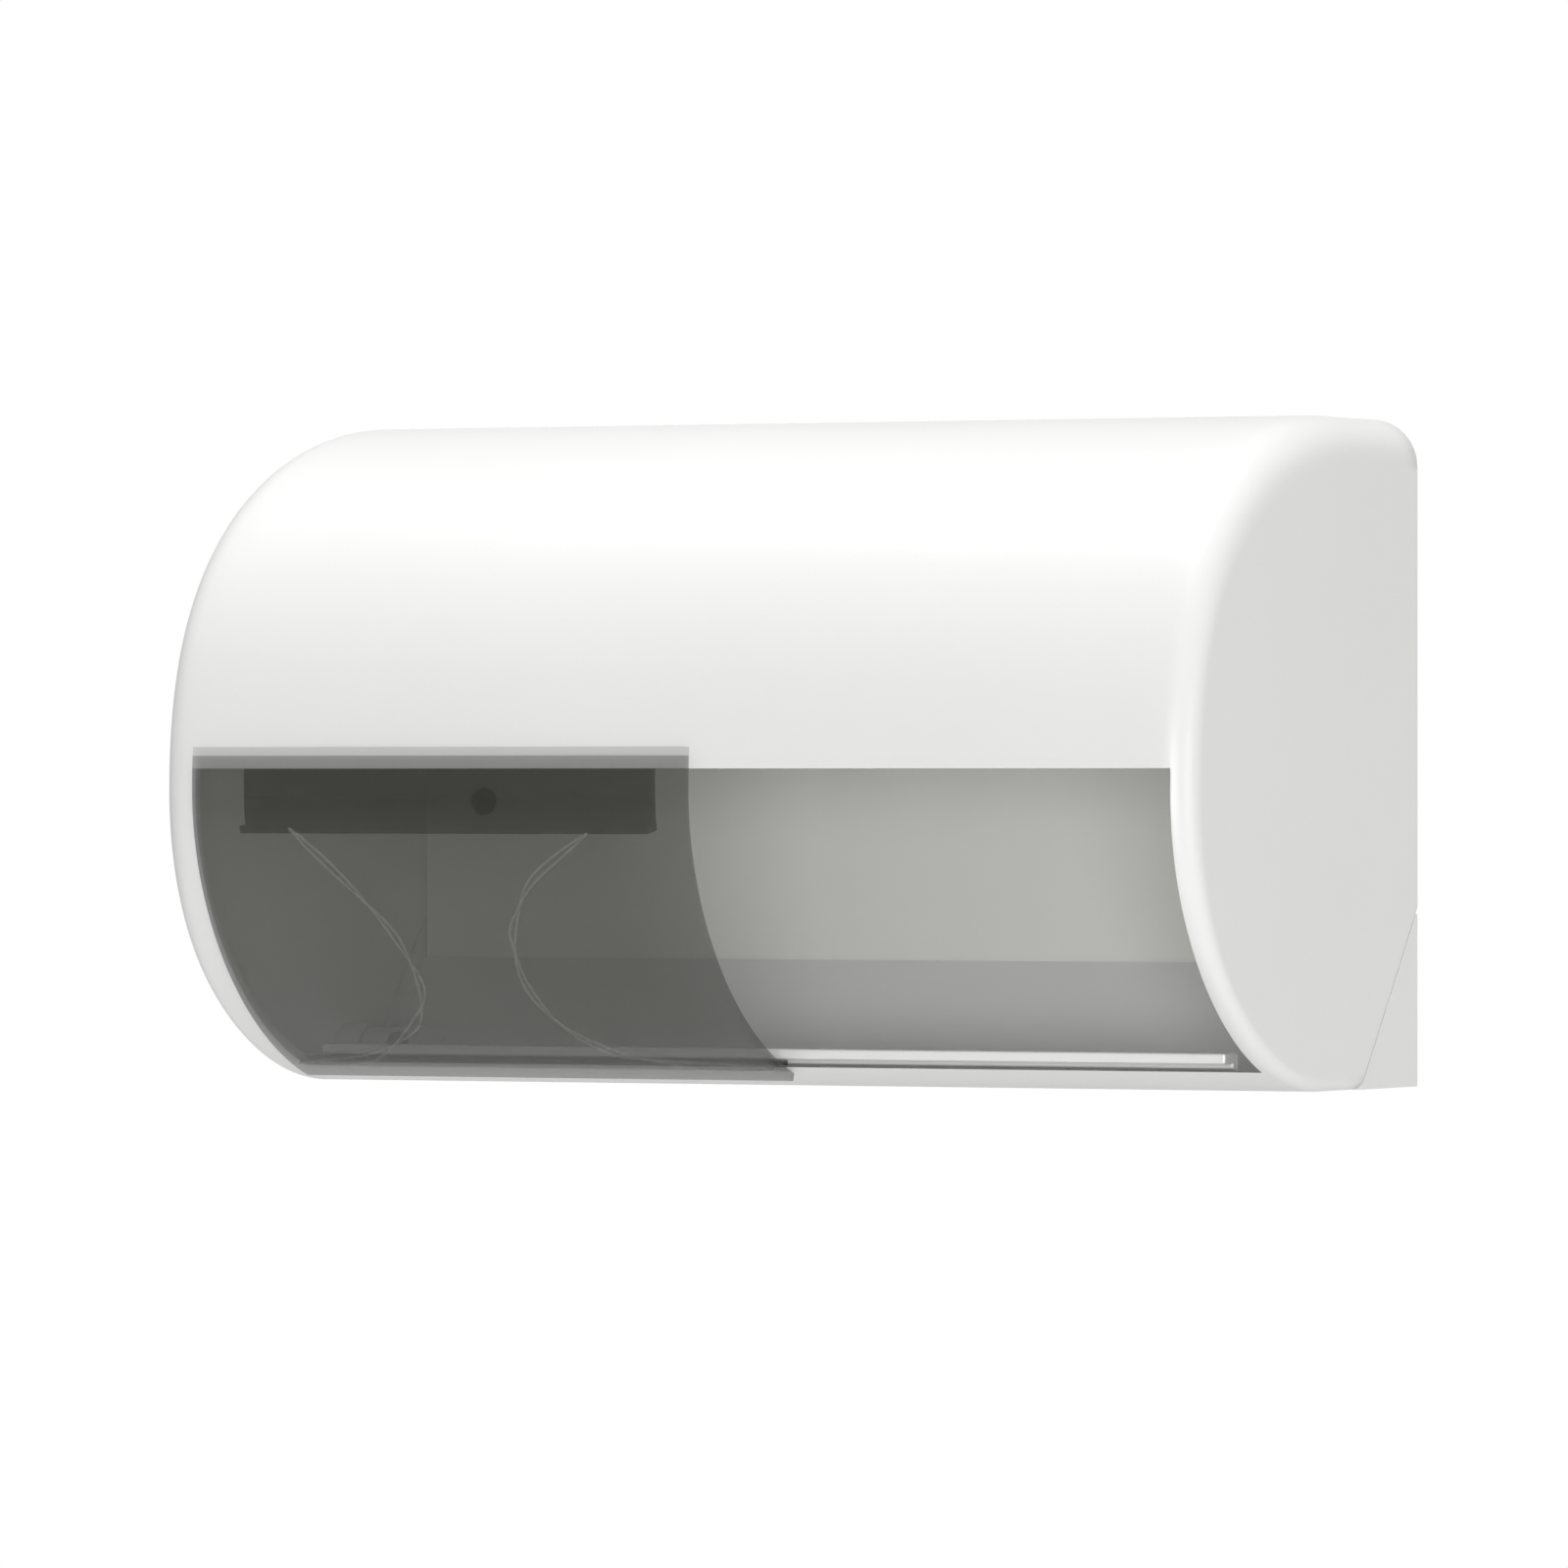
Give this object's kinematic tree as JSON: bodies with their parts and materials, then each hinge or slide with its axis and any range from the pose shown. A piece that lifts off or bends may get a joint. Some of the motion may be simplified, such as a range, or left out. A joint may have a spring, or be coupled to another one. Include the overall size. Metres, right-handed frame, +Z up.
{
  "type": "twin roll tissue dispenser",
  "caption": "Wall-mounted twin-roll tissue dispenser: D-shaped drop-down hood with a smoked sliding shutter over half of its front opening, roll spindles and cam lock.",
  "frame": {"origin": "centre of the wall plate's back face, 95 mm above the underside, midway between the ends", "axes": "+X along the dispenser, left to right as seen from the front; +Y into the wall; +Z up; the front faces -Y"},
  "size_m": [0.28, 0.1424, 0.166],
  "materials": {
    "white_abs": "satin moulded white",
    "rail_white": "smooth white",
    "plate_white": "fine-textured off-white",
    "smoke_polycarbonate": "smoked transparent gloss",
    "grey_acetal": "satin moulded grey",
    "natural_nylon": "natural satin",
    "black_nylon": "matt black",
    "zinc_plated_steel": "bright zinc",
    "nickel": "polished nickel"
  },
  "bodies": {
    "base": {"wall_plate": "plate_white", "hinge_base": "white_abs", "hinge_pin_left": "zinc_plated_steel", "hinge_pin_right": "zinc_plated_steel", "hole_plug_low_left": "black_nylon", "hole_plug_high_left": "black_nylon", "hole_plug_low_right": "black_nylon", "hole_plug_high_right": "black_nylon", "base_screw_left": "zinc_plated_steel", "base_screw_right": "zinc_plated_steel", "bracket_screw_left": "zinc_plated_steel", "bracket_screw_right": "zinc_plated_steel", "strike_screw_1": "zinc_plated_steel", "strike_screw_2": "zinc_plated_steel", "strike_bracket": "zinc_plated_steel", "spindle_bracket": "grey_acetal", "spindle_axle": "zinc_plated_steel", "thrust_washer_left": "natural_nylon", "thrust_washer_right": "natural_nylon", "axle_clip_left": "zinc_plated_steel", "axle_clip_right": "zinc_plated_steel"},
    "hood": {"hood_shell": "white_abs", "lower_rail": "rail_white", "lock_housing": "nickel", "lock_nut": "zinc_plated_steel"},
    "lock": {"lock_barrel": "zinc_plated_steel", "lock_cam": "zinc_plated_steel", "cam_screw": "zinc_plated_steel"},
    "shutter": {"shutter_panel": "smoke_polycarbonate", "shutter_retainer": "smoke_polycarbonate", "shutter_runner": "smoke_polycarbonate"},
    "left_spindle": {"spindle_left": "grey_acetal", "spindle_cap_left": "grey_acetal", "spindle_bush_left": "natural_nylon"},
    "right_spindle": {"spindle_right": "grey_acetal", "spindle_cap_right": "grey_acetal", "spindle_bush_right": "natural_nylon"}
  },
  "joints": [
    {"name": "hood_hinge", "type": "hinge", "parent": "base", "child": "hood", "pos_m": [0, -0.046, -0.087], "axis": [1, 0, 0], "range_deg": [0, 95]},
    {"name": "shutter_slide", "type": "slide", "parent": "hood", "child": "shutter", "axis": [1, 0, 0], "range_m": [0, 0.128]},
    {"name": "lock_turn", "type": "hinge", "parent": "hood", "child": "lock", "pos_m": [0, -0.03, 0.053], "axis": [0, 0, -1], "range_deg": [0, 90]},
    {"name": "left_spindle_spin", "type": "hinge", "parent": "base", "child": "left_spindle", "pos_m": [-0.056, -0.068, 0.006], "axis": [1, 0, 0], "continuous": true},
    {"name": "right_spindle_spin", "type": "hinge", "parent": "base", "child": "right_spindle", "pos_m": [0.056, -0.068, 0.006], "axis": [1, 0, 0], "continuous": true}
  ]
}
